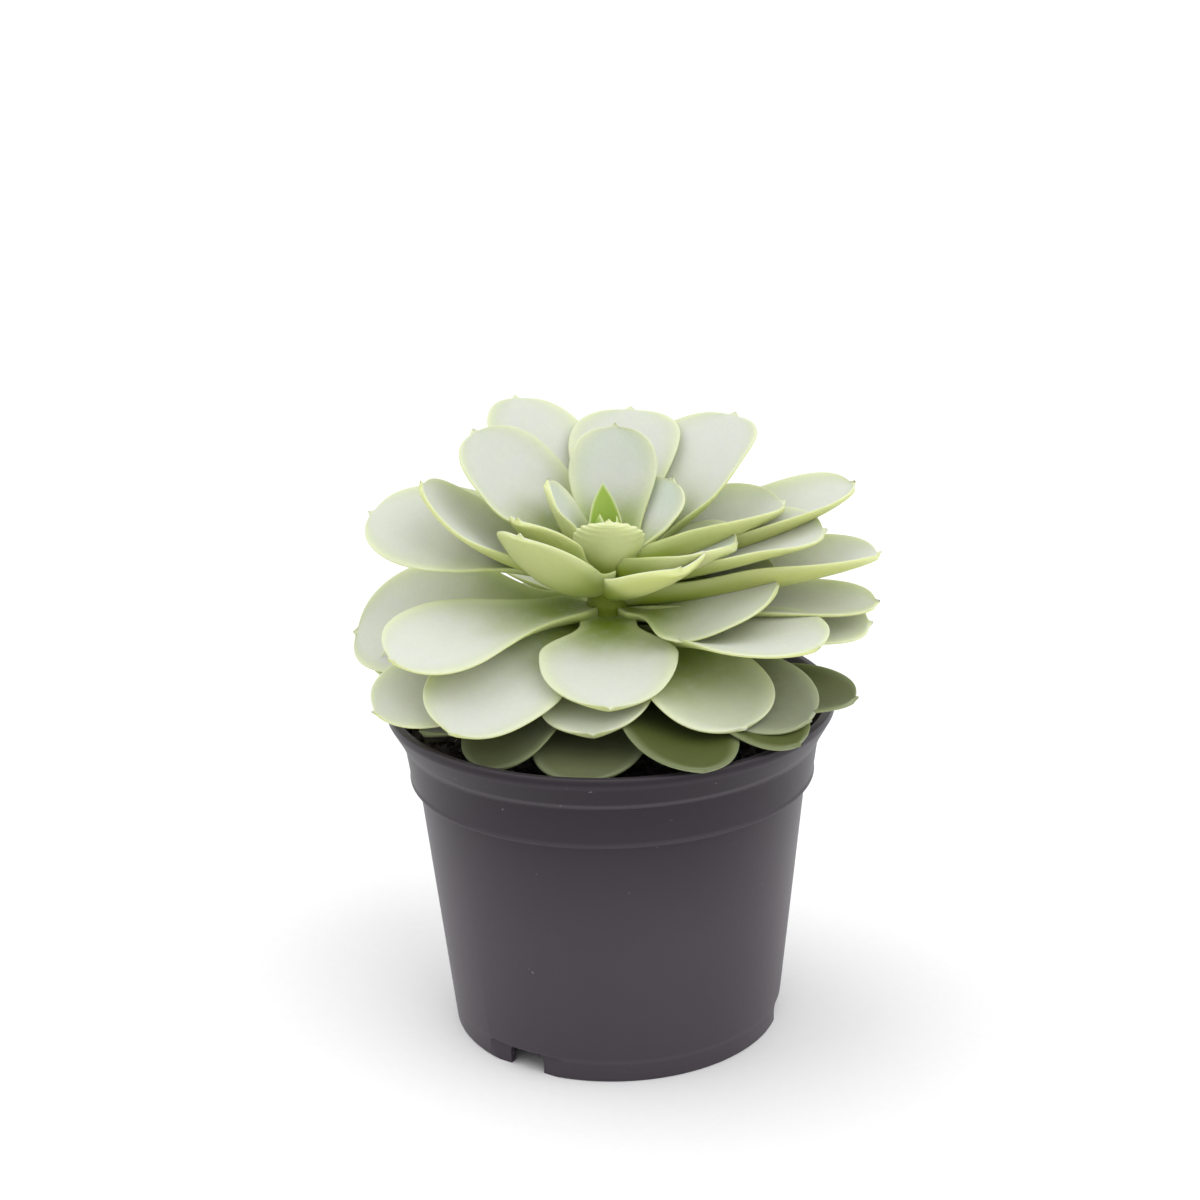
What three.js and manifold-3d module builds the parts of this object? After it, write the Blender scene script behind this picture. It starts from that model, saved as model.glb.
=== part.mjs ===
// A potted succulent: a rosette plant on a short bare stem, standing in potting
// soil in a round nursery pot. Millimetres, +Z up. The origin is the centre of
// the pot's foot, on the ground. Azimuths are in degrees from +X towards +Y, and
// the plant's front faces -Y.
import * as THREE from 'three';
import { mergeVertices } from 'three/addons/utils/BufferGeometryUtils.js';
import Module from 'manifold-3d';

const wasm = await Module();
wasm.setup();

// Pot
const POT_HEIGHT = 80.6;
const LIP_FOOT = 78.6;
const LIP_RADIUS = 52.5;
const LIP_WIDTH = 1.7;
const LIP_CORNER = 0.5;
const BAND_TOP = { radius: 49, z: 72.9 };
const BAND_FOOT = { radius: 47.5, z: 62.4 };
const BODY_TOP = { radius: 45.7, z: 61.6 };
const BASE_RADIUS = 39.1;
const WALL = 1.4;
const FLOOR = { under: 2.5, top: 4.1 };
const FOOT_RING = 2.6;
const POT_SIDES = 64;

// Three drain notches in the foot
const NOTCH_AZIMUTHS = [116, 236, 356];
const NOTCH = { width: 9.3, height: 4.6, reach: 9 };
const NOTCH_PANEL = { width: 20.5, height: 5.4, depth: 1 };

// Soil
const SOIL_RIM = 72.6;
const SOIL_CROWN = 74.6;
const GAP = 0.35;

// Stem
const STEM_FOOT = 44;
const STEM_TOP = 113.5;
const STEM_RADIUS = 5;
const STEM_SIDES = 18;

// Leaves follow one spiral. Leaf 0 is the youngest.
const GOLDEN_ANGLE = 137.5;
const FIRST_AZIMUTH = 273;
const LEAF_START = 4;
const LEAF_SUNK = 2.6;
const LEAF_POINT = 1.1;
const MARGIN = 0.7;
const BLADE = { root: 3.2, tip: 1.5 };
const HEART_BLADE = { root: 1.4, tip: 0.8 };

// A leaf keeps a narrow neck along its shank, and a young leaf's neck is broader
const NECK = { young: 0.9, old: 0.42, step: 0.04 };
const LEAF_SHANK = 0.15;
const LEAF_BLUNT = 2.4;

// The margin turns up more near the root than near the tip
const CUP = { root: 1.6, ease: 1.1 };

const LEAF_STATIONS = [0.16, 0.38, 0.64, 0.85, 0.96];
const LEAF_ACROSS = [-1, -0.5, 0, 0.5, 1];

// Each leaf: its number on the spiral, how far it turns off the spiral, the
// height of its root, its length, its width laid flat, the pitch of its root and
// of its tip, how far it rolls about its midrib, how far its margin turns up from
// the midrib, and how many hundredths of its length lie before its widest part.
const LEAVES = [
  [0, 0, 112.5, 14.5, 17, 52, 78, -5, 45, 48],
  [1, -22, 113.5, 21, 20, 46, 54, 8, 34, 62],
  [2, -14, 115, 19, 15, 56, 68, 0, 40, 66],
  [3, 16, 110, 28, 25, 14, 26, 4, 60, 66],
  [4, -21, 114, 30, 21, 56, 66, 3, 38, 66],
  [5, -18, 109.2, 28.5, 29, 0, 72, 0, 42, 66],
  [6, -9, 111, 39.5, 27, 15, 25, 4, 72, 66],
  [7, 0, 113, 40.5, 31, 32, 56, -10, 32, 60],
  [8, 8, 108, 29, 25, 14, 32, 4, 42, 66],
  [9, -28, 111, 47.5, 39, 35, 40, -3, 36, 46],
  [10, -3, 110, 24, 24, 30, 56, 6, 42, 66],
  [11, 10, 108.5, 47, 30, 14, 16, 5, 42, 66],
  [12, -5, 112, 51, 27, 30, 44, 6, 33, 66],
  [13, 9, 101, 38, 31, -4, -20, 0, 16, 54],
  [14, -26, 109.5, 57.5, 27, 10, 25, 2, 54, 66],
  [15, 2, 109.3, 45, 27, 10, 52, -4, 34, 66],
  [16, 28, 102.8, 37, 39, 0, 24, 15, 18, 42],
  [17, -10, 111, 45, 27.5, 36, 42, 0, 36, 74],
  [18, 0, 99.3, 50, 31.5, -4, -24, -10, 22, 66],
  [19, -8, 105.5, 58.7, 30, 1, 17, -4, 52, 74],
  [20, 23, 109.6, 54, 35, 11, 16, -16, 22, 66],
  [21, -16, 94, 39, 26, -3, -20, 5, 22, 66],
  [22, 0, 101, 50, 30, 2, 0, 0, 25, 66],
  [23, 11, 103, 50.5, 30, 1, -9, -10, 22, 76],
  [24, -7, 96.5, 51, 33, 10, 3, 0, 24, 72],
  [25, 0, 100, 48, 30, 2, -2, 0, 25, 66],
  [26, -14, 87, 45, 24.5, 4, -25, 5, 30, 66],
  [27, 6, 99, 50, 28, 2, -2, 0, 25, 66],
  [28, 5, 100, 57.6, 38, -5, -9, -26, 32, 66],
  [29, 7, 97, 45, 32, -6, -22, 2, 25, 66],
  [30, 0, 98, 48, 30, 0, -6, 0, 25, 66],
  [31, -12, 93, 54, 28, -4, -10, -15, 22, 66],
  [32, 3, 102.2, 57.5, 22, 2, 0, 5, 30, 66],
  [33, 0, 96, 48, 29, 0, -8, 0, 25, 66],
  [34, -6, 86, 43.5, 26.5, -4, -16, 2, 18, 66],
  [35, 0, 94, 48, 28, 0, -8, 0, 25, 66],
  [36, 0, 95, 50, 24, -4, -10, -20, 30, 66],
  [37, 4, 90, 50, 27, 1, -12, 14, 22, 66],
  [39, -25, 82.2, 45, 22, -4, 4, 6, 18, 66],
  [40, -18, 98.7, 56, 25, -4, 4, 10, 22, 66],
  [42, 3.5, 89.3, 51, 26, 0, -15.5, -5, 28, 66],
  [45, -2, 84.6, 55, 24, 0, 4, 8, 22, 66],
  [50, 9.5, 89.4, 52, 24.5, 0, -15.5, 2, 28, 66],
].map(([number, turn, height, length, width, rootPitch, tipPitch, roll, cup, widest]) => ({
  azimuth: FIRST_AZIMUTH + GOLDEN_ANGLE * number + turn,
  start: LEAF_START,
  sunk: LEAF_SUNK,
  height,
  length,
  width,
  rootPitch,
  tipPitch,
  roll,
  cup,
  widest: widest / 100,
  neck: Math.max(NECK.old, NECK.young - NECK.step * number),
}));

// Heart: the small bright leaves that stand on the tip of the stem
const HEART_FOOT = STEM_TOP + GAP;
const HEART_RADIUS = 2.2;
const HEART_SIDES = 12;
const HEART_LEAVES = [
  { azimuth: 100, length: 15, width: 9 },
  { azimuth: 235, length: 9, width: 6 },
  { azimuth: 350, length: 8, width: 5 },
].map((leaf) => ({
  ...leaf,
  start: 1.2,
  sunk: 0.6,
  height: HEART_FOOT + 1.6,
  rootPitch: 74,
  tipPitch: 90,
  roll: 0,
  cup: 40,
}));

const degrees = THREE.MathUtils.degToRad;

function solidFrom(geometry) {
  geometry.deleteAttribute('normal');
  geometry.deleteAttribute('uv');
  const merged = mergeVertices(geometry, 1e-4);
  return new wasm.Manifold(new wasm.Mesh({
    numProp: 3,
    vertProperties: new Float32Array(merged.attributes.position.array),
    triVerts: new Uint32Array(merged.index.array),
  }));
}

function geometryFrom(solid) {
  const mesh = solid.getMesh();
  const geometry = new THREE.BufferGeometry();
  geometry.setAttribute('position', new THREE.BufferAttribute(mesh.vertProperties, 3));
  geometry.setIndex(new THREE.BufferAttribute(mesh.triVerts, 1));
  geometry.computeVertexNormals();
  return geometry;
}

function turned(profile, sides) {
  const points = profile.map(([radius, z]) => new THREE.Vector2(radius, z));
  const geometry = new THREE.LatheGeometry(points, sides);
  geometry.rotateX(Math.PI / 2);
  return solidFrom(geometry);
}

function block(width, depth, height, azimuth, radius, bottom) {
  const geometry = new THREE.BoxGeometry(depth, width, height);
  geometry.translate(radius + depth / 2, 0, bottom + height / 2);
  geometry.rotateZ(degrees(azimuth));
  return solidFrom(geometry);
}

// Inside of the pot from the floor's edge up to just under the lip
function innerProfile(inset) {
  const side = WALL + inset;
  return [
    [BASE_RADIUS - FOOT_RING - inset, FLOOR.top + inset],
    [BASE_RADIUS - FOOT_RING - inset, 9],
    [BASE_RADIUS + 1.2 - side, 13],
    [BODY_TOP.radius - side, BODY_TOP.z],
    [BAND_FOOT.radius - side, BAND_FOOT.z + 0.6],
    [BAND_TOP.radius - side, BAND_TOP.z - 0.3],
  ];
}

function pot() {
  const profile = [
    [0, FLOOR.under],
    [BASE_RADIUS - FOOT_RING, FLOOR.under],
    [BASE_RADIUS - FOOT_RING, 0],
    [BASE_RADIUS - 0.6, 0],
    [BASE_RADIUS, 0.6],
    [BODY_TOP.radius, BODY_TOP.z],
    [BAND_FOOT.radius, BAND_FOOT.z],
    [BAND_TOP.radius, BAND_TOP.z],
    [LIP_RADIUS, LIP_FOOT],
    [LIP_RADIUS, POT_HEIGHT - LIP_CORNER],
    [LIP_RADIUS - LIP_CORNER, POT_HEIGHT],
    [LIP_RADIUS - LIP_WIDTH, POT_HEIGHT],
    [LIP_RADIUS - LIP_WIDTH - LIP_CORNER, POT_HEIGHT - LIP_CORNER],
    ...innerProfile(0).reverse(),
    [0, FLOOR.top],
  ];
  let solid = turned(profile, POT_SIDES);
  for (const azimuth of NOTCH_AZIMUTHS) {
    const panelRadius = BASE_RADIUS - NOTCH_PANEL.depth;
    const panel = block(NOTCH_PANEL.width, 8, NOTCH_PANEL.height + 1, azimuth, panelRadius, -1);
    const slotRadius = BASE_RADIUS - NOTCH.reach;
    const slot = block(NOTCH.width, NOTCH.reach + 4, NOTCH.height + 1, azimuth, slotRadius, -1);
    solid = solid.subtract(panel).subtract(slot);
  }
  return solid;
}

function soil() {
  const hole = STEM_RADIUS + GAP;
  const inside = innerProfile(GAP);
  const body = turned([
    [0, FLOOR.top + GAP],
    ...inside.slice(0, -1),
    [BAND_TOP.radius - WALL - GAP - 0.1, SOIL_RIM],
    [LIP_RADIUS * 0.72, SOIL_RIM + 0.9],
    [LIP_RADIUS * 0.4, SOIL_CROWN - 0.5],
    [0, SOIL_CROWN],
  ], POT_SIDES);
  const bore = turned([
    [0, STEM_FOOT - GAP],
    [hole, STEM_FOOT - GAP],
    [hole, SOIL_CROWN + 5],
    [0, SOIL_CROWN + 5],
  ], STEM_SIDES);
  return body.subtract(bore);
}

// Half width of a broad leaf, as a share of its widest half
function spoonOutline(leaf, along) {
  if (along < leaf.widest) {
    const share = Math.max(along - LEAF_SHANK, 0) / (leaf.widest - LEAF_SHANK);
    const rise = Math.sin((Math.PI / 2) * share);
    return leaf.neck + (1 - leaf.neck) * rise * rise;
  }
  const past = (along - leaf.widest) / (1 - leaf.widest);
  return Math.max(1 - past ** LEAF_BLUNT, 0) ** (1 / LEAF_BLUNT);
}

// Half width of a heart leaf: broad at its foot and pointed
function pointedOutline(leaf, along) {
  return Math.min(1, 0.6 + 1.6 * Math.max(along, 0)) * Math.sqrt(Math.max(1 - along * along, 0));
}

// A point of the midrib and the pitch there, the pitch turning evenly along the leaf
function midrib(leaf, along) {
  const start = degrees(leaf.rootPitch);
  const turn = degrees(leaf.tipPitch - leaf.rootPitch) || 1e-4;
  const pitch = start + turn * along;
  const reach = leaf.length / turn;
  return {
    pitch,
    radius: leaf.start + reach * (Math.sin(pitch) - Math.sin(start)),
    z: leaf.height - reach * (Math.cos(pitch) - Math.cos(start)),
  };
}

// A closed ring of points around the blade at one station
function bladeRing(leaf, along, halfWidth, thickness) {
  const { pitch, radius, z } = midrib(leaf, along);
  const roll = degrees(leaf.roll) * THREE.MathUtils.clamp(along * 2, 0, 1);
  const up = new THREE.Vector3(-Math.sin(pitch), 0, Math.cos(pitch));
  const side = new THREE.Vector3(0, 1, 0);
  const across = side.clone().multiplyScalar(Math.cos(roll)).addScaledVector(up, Math.sin(roll));
  const normal = up.clone().multiplyScalar(Math.cos(roll)).addScaledVector(side, -Math.sin(roll));
  const share = THREE.MathUtils.clamp(along, 0, 1);
  const cup = degrees(leaf.cup) * (CUP.root - CUP.ease * share);
  const pointAt = (t, drop) => new THREE.Vector3(radius, 0, z)
    .addScaledVector(across, (halfWidth / cup + drop) * Math.sin(cup * t))
    .addScaledVector(normal, halfWidth / cup - (halfWidth / cup + drop) * Math.cos(cup * t));
  const upper = LEAF_ACROSS.map((t) => pointAt(t, 0));
  const lower = LEAF_ACROSS.map((t) => pointAt(t, MARGIN + (thickness - MARGIN) * (1 - t * t)));
  return [...upper, ...lower.reverse()];
}

function blade(leaf, outline, thicknesses) {
  const half = leaf.width / 2;
  const sunk = -leaf.sunk / leaf.length;
  const point = 1 + LEAF_POINT / leaf.length;
  const stations = [sunk, 0, ...LEAF_STATIONS];
  const rings = stations.map((along) => {
    const share = THREE.MathUtils.clamp(along, 0, 1);
    const thickness = THREE.MathUtils.lerp(thicknesses.root, thicknesses.tip, share);
    return bladeRing(leaf, along, half * outline(leaf, along), thickness);
  });
  rings.push(bladeRing(leaf, point, 0.45, MARGIN));
  const count = rings[0].length;
  const positions = rings.flat().flatMap((p) => [p.x, p.y, p.z]);
  const index = [];
  for (let i = 0; i < rings.length - 1; i++) {
    for (let j = 0; j < count; j++) {
      const a = i * count + j;
      const b = i * count + ((j + 1) % count);
      index.push(a, a + count, b, b, a + count, b + count);
    }
  }
  const last = (rings.length - 1) * count;
  for (let j = 0; j < LEAF_ACROSS.length - 1; j++) {
    const k = count - 1 - j;
    index.push(j, j + 1, k, j + 1, k - 1, k);
    index.push(last + j, last + k, last + j + 1, last + j + 1, last + k, last + k - 1);
  }
  const geometry = new THREE.BufferGeometry();
  geometry.setAttribute('position', new THREE.Float32BufferAttribute(positions, 3));
  geometry.setIndex(index);
  geometry.rotateZ(degrees(leaf.azimuth));
  return solidFrom(geometry);
}

function rosette() {
  let solid = turned([
    [0, STEM_FOOT],
    [STEM_RADIUS - 1, STEM_FOOT],
    [STEM_RADIUS, STEM_FOOT + 2],
    [STEM_RADIUS, STEM_TOP - 1.5],
    [STEM_RADIUS - 1, STEM_TOP - 0.5],
    [STEM_RADIUS - 2, STEM_TOP],
    [0, STEM_TOP],
  ], STEM_SIDES);
  for (const leaf of LEAVES) {
    solid = solid.add(blade(leaf, spoonOutline, BLADE));
  }
  return solid;
}

function heart() {
  let solid = turned([
    [0, HEART_FOOT],
    [HEART_RADIUS, HEART_FOOT],
    [HEART_RADIUS, HEART_FOOT + 1.5],
    [HEART_RADIUS * 0.7, HEART_FOOT + 5],
    [0, HEART_FOOT + 8],
  ], HEART_SIDES);
  for (const leaf of HEART_LEAVES) {
    solid = solid.add(blade(leaf, pointedOutline, HEART_BLADE));
  }
  return solid;
}

function part(name, solid, color, roughness) {
  const material = new THREE.MeshStandardMaterial({ color, roughness, metalness: 0 });
  const mesh = new THREE.Mesh(geometryFrom(solid), material);
  mesh.name = name;
  return mesh;
}

const succulent = new THREE.Group();
succulent.add(
  part('pot', pot(), '#504a50', 0.55),
  part('soil', soil(), '#2a211c', 0.95),
  part('rosette', rosette(), '#d3dac8', 0.6),
  part('heart', heart(), '#9bb04f', 0.5),
);

export default succulent;
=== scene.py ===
"""A rosette succulent in a round nursery pot, dressed for a render.

Lengths in the tables are millimetres and angles are degrees, as on the plant.
Azimuths run from +X towards +Y, and the plant's front faces -Y.
"""
import math
import random

import bmesh
import bpy
from mathutils import Matrix, Vector


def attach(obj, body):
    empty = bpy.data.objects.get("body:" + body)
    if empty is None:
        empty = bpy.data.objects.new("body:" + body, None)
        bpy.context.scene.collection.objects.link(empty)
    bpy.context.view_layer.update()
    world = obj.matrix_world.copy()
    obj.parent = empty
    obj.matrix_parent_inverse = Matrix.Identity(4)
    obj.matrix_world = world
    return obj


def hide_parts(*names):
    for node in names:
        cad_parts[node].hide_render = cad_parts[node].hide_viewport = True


bl_info = {
    "name": "Potted Succulent",
    "version": (1, 0, 0),
    "blender": (4, 5, 0),
    "location": "3D View > Sidebar > Succulent",
    "description": "Builds a rosette succulent in a nursery pot",
    "category": "Add Mesh",
}

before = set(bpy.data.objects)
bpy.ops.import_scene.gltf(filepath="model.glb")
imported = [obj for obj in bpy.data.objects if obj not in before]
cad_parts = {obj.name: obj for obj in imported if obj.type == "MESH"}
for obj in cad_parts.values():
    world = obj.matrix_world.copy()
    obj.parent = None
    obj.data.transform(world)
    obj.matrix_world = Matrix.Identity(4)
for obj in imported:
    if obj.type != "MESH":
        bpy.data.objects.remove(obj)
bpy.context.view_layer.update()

MM = 0.001
WELD = 0.002

# Pot
POT_HEIGHT = 80.6
LIP_FOOT = 78.6
LIP_RADIUS = 52.5
LIP_WIDTH = 1.7
BAND_TOP = (49.0, 72.9)
BAND_FOOT = (47.5, 62.4)
BODY_TOP = (45.7, 61.6)
BASE_RADIUS = 39.1
WALL = 1.4
FLOOR_UNDER = 2.5
FLOOR_TOP = 4.1
FOOT_RING = 2.6
BEAD = 0.2
POT_ROUNDING = 0.45
NOTCH_AZIMUTHS = (116, 236, 356)
# Width and height of a notch and of the shallow panel around it
NOTCH = (9.3, 4.6)
NOTCH_PANEL = (20.5, 5.4)
# How far from the axis their cutters reach, how far below the foot, and their rounding
NOTCH_NEAR = 30
PANEL_NEAR = BASE_RADIUS - 1
NOTCH_FAR = 48
NOTCH_BELOW = 8
NOTCH_ROUNDING = 1.3

# Stem
STEM_FOOT = 44.0
STEM_TOP = 113.5
STEM_RADIUS = 5.0
STEM_SWELL = 0.25
STEM_SWELL_RATE = 1.9
STEM_STEP = 0.8

# Soil
SOIL_RIM = 72.6
SOIL_CROWN = 74.6
SOIL_LUMPS = 2.2
SOIL_SIDES = 160
SOIL_RINGS = 60
SOIL_CRUMBS = 1500
SOIL_SEED = 7
GAP = 0.35

# The spiral of leaves
GOLDEN_ANGLE = 137.5
FIRST_AZIMUTH = 273
LEAF_START = 4.0
LEAF_SUNK = 2.6
YOUNG_NECK = 0.9
OLD_NECK = 0.42
NECK_STEP = 0.04
SHANK = 0.15
BLUNT = 2.4
ROOT_THICKNESS = 3.2
TIP_THICKNESS = 1.5
LEAST_TURN = 0.01
LEAF_RINGS = 56
LEAF_SIDES = 32
LEAF_MARGIN = 1.1
LEAF_POINT = 1.1
LEAF_FLATNESS = 0.45
LEAF_WAVE = 0.6

# The teeth on the margin of the youngest mature leaf
TEETH_RATE = 62.0
TEETH_WIDTH = 0.035
TEETH_LENGTH = 0.1

LEAF_COLUMNS = (
    "turn", "height", "length", "width", "root_pitch", "tip_pitch", "roll", "cup", "widest"
)
LEAVES = {
    0: (0, 112.5, 14.5, 17, 52, 78, -5, 45, 48),
    1: (-22, 113.5, 21, 20, 46, 54, 8, 34, 62),
    2: (-14, 115, 19, 15, 56, 68, 0, 40, 66),
    3: (16, 110, 28, 25, 14, 26, 4, 60, 66),
    4: (-21, 114, 30, 21, 56, 66, 3, 38, 66),
    5: (-18, 109.2, 28.5, 29, 0, 72, 0, 42, 66),
    6: (-9, 111, 39.5, 27, 15, 25, 4, 72, 66),
    7: (0, 113, 40.5, 31, 32, 56, -10, 32, 60),
    8: (8, 108, 29, 25, 14, 32, 4, 42, 66),
    9: (-28, 111, 47.5, 39, 35, 40, -3, 36, 46),
    10: (-3, 110, 24, 24, 30, 56, 6, 42, 66),
    11: (10, 108.5, 47, 30, 14, 16, 5, 42, 66),
    12: (-5, 112, 51, 27, 30, 44, 6, 33, 66),
    13: (9, 101, 38, 31, -4, -20, 0, 16, 54),
    14: (-26, 109.5, 57.5, 27, 10, 25, 2, 54, 66),
    15: (2, 109.3, 45, 27, 10, 52, -4, 34, 66),
    16: (28, 102.8, 37, 39, 0, 24, 15, 18, 42),
    17: (-10, 111, 45, 27.5, 36, 42, 0, 36, 74),
    18: (0, 99.3, 50, 31.5, -4, -24, -10, 22, 66),
    19: (-8, 105.5, 58.7, 30, 1, 17, -4, 52, 74),
    20: (23, 109.6, 54, 35, 11, 16, -16, 22, 66),
    21: (-16, 95, 39, 26, -3, -20, 6, 20, 66),
    22: (0, 101, 50, 30, 2, 0, 0, 25, 66),
    23: (11, 103, 50.5, 30, 1, -9, -10, 22, 76),
    24: (-7, 96.5, 51, 33, 10, 3, 0, 24, 72),
    25: (0, 100, 48, 30, 2, -2, 0, 25, 66),
    26: (-14, 87, 45, 24.5, 4, -25, 5, 30, 66),
    27: (6, 99, 50, 28, 2, -2, 0, 25, 66),
    28: (5, 100, 57.6, 38, -5, -9, -26, 32, 66),
    29: (7, 97, 45, 32, -6, -21, 1, 23, 66),
    30: (0, 98, 48, 30, 0, -6, 0, 25, 66),
    31: (-12, 93, 54, 28, -4, -10, -15, 22, 66),
    32: (3, 102.2, 57.5, 22, 2, 0, 5, 30, 66),
    33: (0, 96, 48, 29, 0, -8, 0, 25, 66),
    34: (-6, 86, 43.5, 26.5, -4, -16, 2, 18, 66),
    35: (0, 94, 48, 28, 0, -8, 0, 25, 66),
    36: (0, 95, 50, 24, -4, -10, -20, 30, 66),
    37: (4, 90, 50, 27, 1, -12, 14, 22, 66),
    39: (-25, 82.2, 45, 22, -4, 4, 6, 18, 66),
    40: (-18, 98.7, 56, 25, -4, 4, 10, 22, 66),
    42: (3.5, 89.1, 51, 26, 0, -15.5, -5, 17, 66),
    45: (-2, 84.6, 55, 24, 0, 4, 8, 22, 66),
    50: (9.5, 89.2, 52, 24.5, 0, -15.5, 2, 24, 66),
}

# The first few leaves are young, and the lowest tier is worn and dark: partly the old leaves' own
# colour, partly painted shade from the tiers above
YOUNG_COUNT = 8
WORN_AND_SHADED_BELOW = 92.5
WORN_AND_SHADED_SPAN = 3.5

# Painted shade on listed leaves: how far each is painted darker and greener, its bloom pushed
# towards the tip; from 1 on, little bloom is left
PAINTED_SHADE_ON_LEAVES = {5: 0.4, 21: 0.3, 29: 0.4, 31: 0.1, 37: 0.15, 42: 1.25, 50: 1.4}

# Heights of painted highlights: pale lines painted along the pot's moulded edges, and how much
PAINTED_EDGE_HIGHLIGHTS = ((5.2, 0.3), (62.9, 0.6), (72.9, 1.0), (78.6, 0.35), (POT_HEIGHT, 0.5))

# Heart leaves: azimuth, length, width
HEART_FOOT = STEM_TOP + GAP
HEART_RADIUS = 2.2
HEART_LEAVES = ((100, 15, 9), (235, 9, 6), (350, 8, 5))

# Camera: its place around a point on the pot's axis, and which way it looks
CAMERA_TARGET_Z = 60.0
CAMERA_DISTANCE = 585.0
CAMERA_ELEVATION = 22.65
CAMERA_PITCH = 18.58
CAMERA_YAW = -0.2
CAMERA_ROLL = -1.44
CAMERA_LENS = 73.83

# Each light: azimuth, elevation and how wide it is, in degrees
KEY_LIGHT = (165, 60, 60)
FILL_LIGHT = (322, 48, 60)

# In metres
LIGHT_DISTANCE = 2.0
FLOOR_REACH = 8.0


class Value:
    """A node's socket that takes part in Python arithmetic."""

    def __init__(self, tree, socket):
        self.tree = tree
        self.socket = socket

    def __add__(self, other):
        return self.tree.math("ADD", self, other)

    def __sub__(self, other):
        return self.tree.math("SUBTRACT", self, other)

    def __mul__(self, other):
        return self.tree.math("MULTIPLY", self, other)

    def __truediv__(self, other):
        return self.tree.math("DIVIDE", self, other)

    def __pow__(self, other):
        return self.tree.math("POWER", self, other)

    def __radd__(self, other):
        return self.tree.math("ADD", other, self)

    def __rsub__(self, other):
        return self.tree.math("SUBTRACT", other, self)

    def __rmul__(self, other):
        return self.tree.math("MULTIPLY", other, self)

    def __rtruediv__(self, other):
        return self.tree.math("DIVIDE", other, self)

    def __neg__(self):
        return self.tree.math("MULTIPLY", self, -1.0)


class Tree:
    """A node tree with short ways to add and link its nodes."""

    def __init__(self, node_tree):
        self.node_tree = node_tree

    def node(self, kind, settings=None, inputs=None):
        made = self.node_tree.nodes.new(kind)
        for name, value in (settings or {}).items():
            setattr(made, name, value)
        for name, value in (inputs or {}).items():
            self.feed(self.socket(made.inputs, name), value)
        return made

    @staticmethod
    def socket(sockets, name):
        if isinstance(name, int):
            return sockets[name]
        for socket in sockets:
            if socket.identifier == name:
                return socket
        return sockets[name]

    def feed(self, socket, value):
        if isinstance(value, Value):
            self.node_tree.links.new(value.socket, socket)
        elif isinstance(value, bpy.types.NodeSocket):
            self.node_tree.links.new(value, socket)
        else:
            socket.default_value = value

    def out(self, made, name=0):
        return Value(self, self.socket(made.outputs, name))

    def math(self, operation, *values):
        inputs = dict(enumerate(values))
        return self.out(self.node("ShaderNodeMath", {"operation": operation}, inputs))

    def clamp(self, value, low=0.0, high=1.0):
        return self.math("MINIMUM", self.math("MAXIMUM", value, low), high)

    def smooth(self, value, low, high):
        inputs = {"Value": value, "From Min": low, "From Max": high}
        made = self.node("ShaderNodeMapRange", {"interpolation_type": "SMOOTHSTEP"}, inputs)
        return self.out(made, "Result")

    def mix(self, factor, first, second, blend="MIX"):
        inputs = {"Factor_Float": factor, "A_Color": first, "B_Color": second}
        settings = {"data_type": "RGBA", "blend_type": blend}
        return self.out(self.node("ShaderNodeMix", settings, inputs), "Result_Color")

    def noise(self, vector, scale, detail=4.0, roughness=0.5):
        inputs = {"Vector": vector, "Scale": scale, "Detail": detail, "Roughness": roughness}
        return self.out(self.node("ShaderNodeTexNoise", None, inputs), "Fac")


# ---------------------------------------------------------------- geometry nodes


class GeometryTree(Tree):
    """A geometry node group with named inputs."""

    def __init__(self, name):
        super().__init__(bpy.data.node_groups.new(name, "GeometryNodeTree"))
        interface = self.node_tree.interface
        interface.new_socket("Geometry", in_out="INPUT", socket_type="NodeSocketGeometry")
        interface.new_socket("Geometry", in_out="OUTPUT", socket_type="NodeSocketGeometry")
        self.entry = self.node("NodeGroupInput")
        self.exit = self.node("NodeGroupOutput")

    def input(self, name, kind, default=None):
        made = self.node_tree.interface.new_socket(name, in_out="INPUT", socket_type=kind)
        if default is not None:
            made.default_value = default
        return Value(self, self.socket(self.entry.outputs, made.identifier))

    def attribute(self, name):
        return self.out(self.node("GeometryNodeInputNamedAttribute", None, {"Name": name}), 0)

    def store(self, geometry, name, value):
        inputs = {"Geometry": geometry, "Name": name, "Value": value}
        return self.out(self.node("GeometryNodeStoreNamedAttribute", None, inputs))

    def finish(self, geometry):
        self.feed(self.exit.inputs[0], geometry)


def run_tree(mesh, tree, settings, name):
    """The plain mesh that a geometry node tree makes from a mesh."""
    holder = bpy.data.objects.new(name, mesh)
    bpy.context.scene.collection.objects.link(holder)
    modifier = holder.modifiers.new("Build", "NODES")
    modifier.node_group = tree.node_tree
    for item in tree.node_tree.interface.items_tree:
        if item.item_type == "SOCKET" and item.name in settings:
            modifier[item.identifier] = settings[item.name]
    bpy.context.view_layer.update()
    evaluated = holder.evaluated_get(bpy.context.evaluated_depsgraph_get())
    made = bpy.data.meshes.new_from_object(evaluated)
    bpy.data.objects.remove(holder)
    if not made.polygons:
        raise RuntimeError(f"{name}: the node tree made no faces")
    made.name = name
    return made


def leaf_points(rows, name):
    """One vertex for each leaf, which carries the leaf's own values."""
    mesh = bpy.data.meshes.new(name)
    mesh.from_pydata([(0, 0, 0)] * len(rows), [], [])
    for column in rows[0]:
        attribute = mesh.attributes.new(column, "FLOAT", "POINT")
        attribute.data.foreach_set("value", [row[column] for row in rows])
    return mesh


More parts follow.
